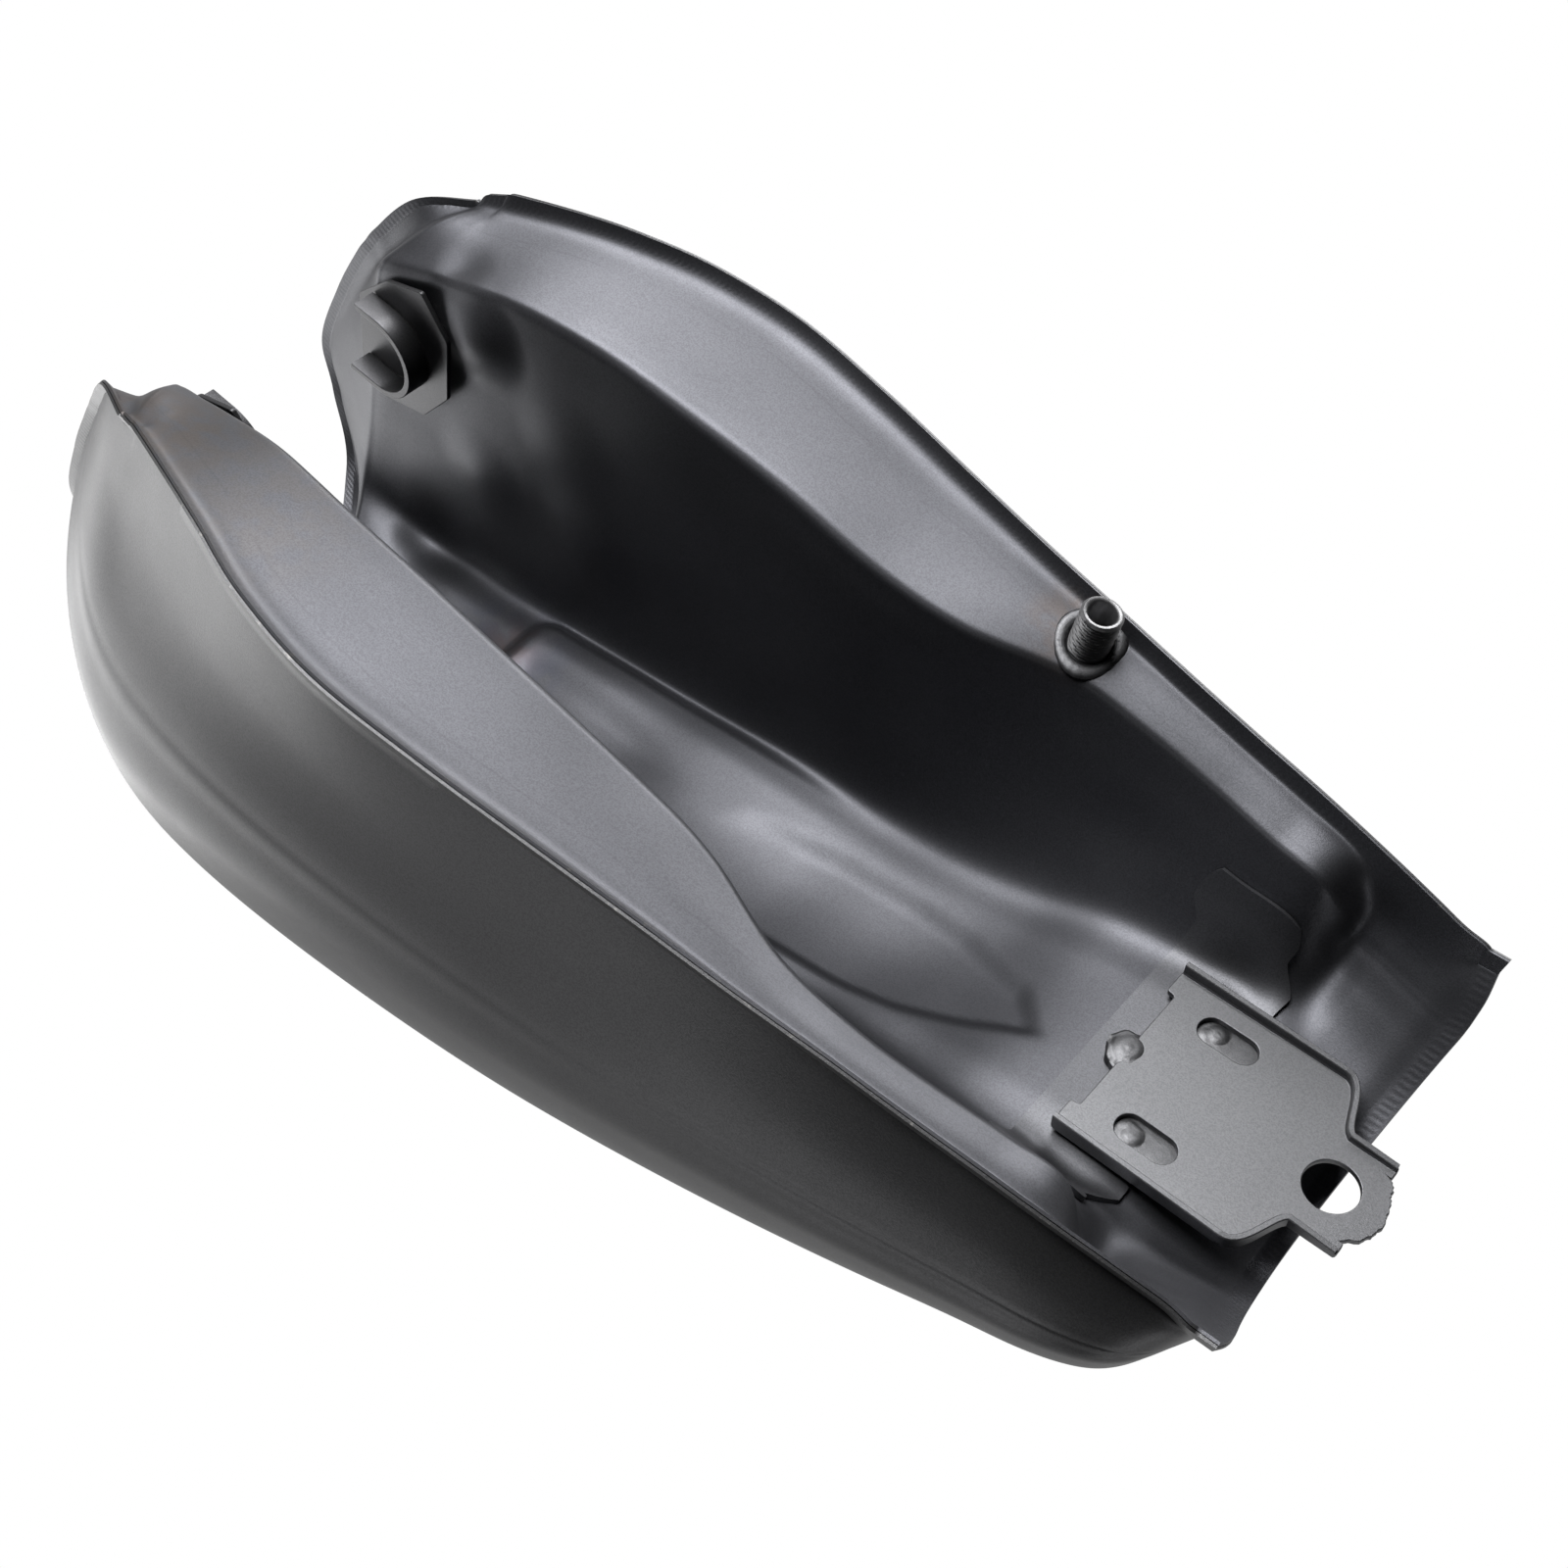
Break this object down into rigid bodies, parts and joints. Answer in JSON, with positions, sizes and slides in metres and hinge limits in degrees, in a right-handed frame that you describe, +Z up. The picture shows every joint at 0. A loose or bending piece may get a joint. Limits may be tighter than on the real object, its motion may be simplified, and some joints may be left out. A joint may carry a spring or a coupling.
{
  "type": "motorcycle fuel tank",
  "caption": "Bare satin-black steel saddle tank with a deep frame tunnel, front rubber cups, slotted rear bracket with a tongue, threaded petcock spigot and a locking filler cap",
  "frame": {"origin": "on the centreline, under the middle of the tank's length, level with its lowest point, the end of the petcock spigot", "axes": "+X to the front of the motorcycle, +Y to its left, +Z up"},
  "size_m": [0.5862, 0.2964, 0.2695],
  "materials": {
    "outer_paint": "satin black paint with a fine grain",
    "pan_paint": "thin graphite-grey satin primer, mottled",
    "bracket_paint": "dark satin paint, lightly scuffed",
    "weld_paint": "rippled weld metal under thin black paint",
    "spigot_steel": "dark turned steel with a machined thread",
    "chrome": "polished chrome",
    "zinc": "zinc-plated steel",
    "rubber": "matt black rubber"
  },
  "bodies": {
    "tank": {"outer_shell_left": "outer_paint", "outer_shell_right": "outer_paint", "tunnel_pan": "pan_paint", "front_plate_left": "bracket_paint", "front_plate_right": "bracket_paint", "front_cup_left": "bracket_paint", "front_cup_right": "bracket_paint", "rear_doubler": "bracket_paint", "rear_bracket": "bracket_paint", "bracket_weld": "weld_paint", "plug_weld_left": "weld_paint", "plug_weld_right": "weld_paint", "petcock_spigot": "spigot_steel", "spigot_weld": "weld_paint", "filler_neck": "outer_paint"},
    "cap": {"cap_base": "zinc", "cap_cover": "chrome", "cap_gasket": "rubber", "keyhole_pin": "chrome"},
    "lock": {"lock_barrel": "zinc", "lock_cam": "zinc"},
    "front_latch": {"latch_front": "zinc"},
    "rear_latch": {"latch_rear": "zinc"},
    "keyhole_cover": {"keyhole_cover": "chrome"}
  },
  "joints": [
    {"name": "cap_lift", "type": "slide", "parent": "tank", "child": "cap", "axis": [-0.1908, 0, 0.9816], "range_m": [0, 0.07]},
    {"name": "lock_turn", "type": "hinge", "parent": "cap", "child": "lock", "pos_m": [0.11289, 0, 0.24694], "axis": [-0.1908, 0, 0.9816], "range_deg": [0, 90]},
    {"name": "latch_front_slide", "type": "slide", "parent": "cap", "child": "front_latch", "axis": [0.9816, 0, 0.1908], "range_m": [0, 0.0035]},
    {"name": "latch_rear_slide", "type": "slide", "parent": "cap", "child": "rear_latch", "axis": [-0.9816, 0, -0.1908], "range_m": [0, 0.0035]},
    {"name": "keyhole_cover_swing", "type": "hinge", "parent": "cap", "child": "keyhole_cover", "pos_m": [0.10927, 0.014, 0.26559], "axis": [-0.1908, 0, 0.9816], "range_deg": [0, 120]}
  ],
  "couplings": [
    {"joint": "latch_front_slide", "follows": "lock_turn", "m_per_rad": 0.002228},
    {"joint": "latch_rear_slide", "follows": "lock_turn", "m_per_rad": 0.002228}
  ]
}
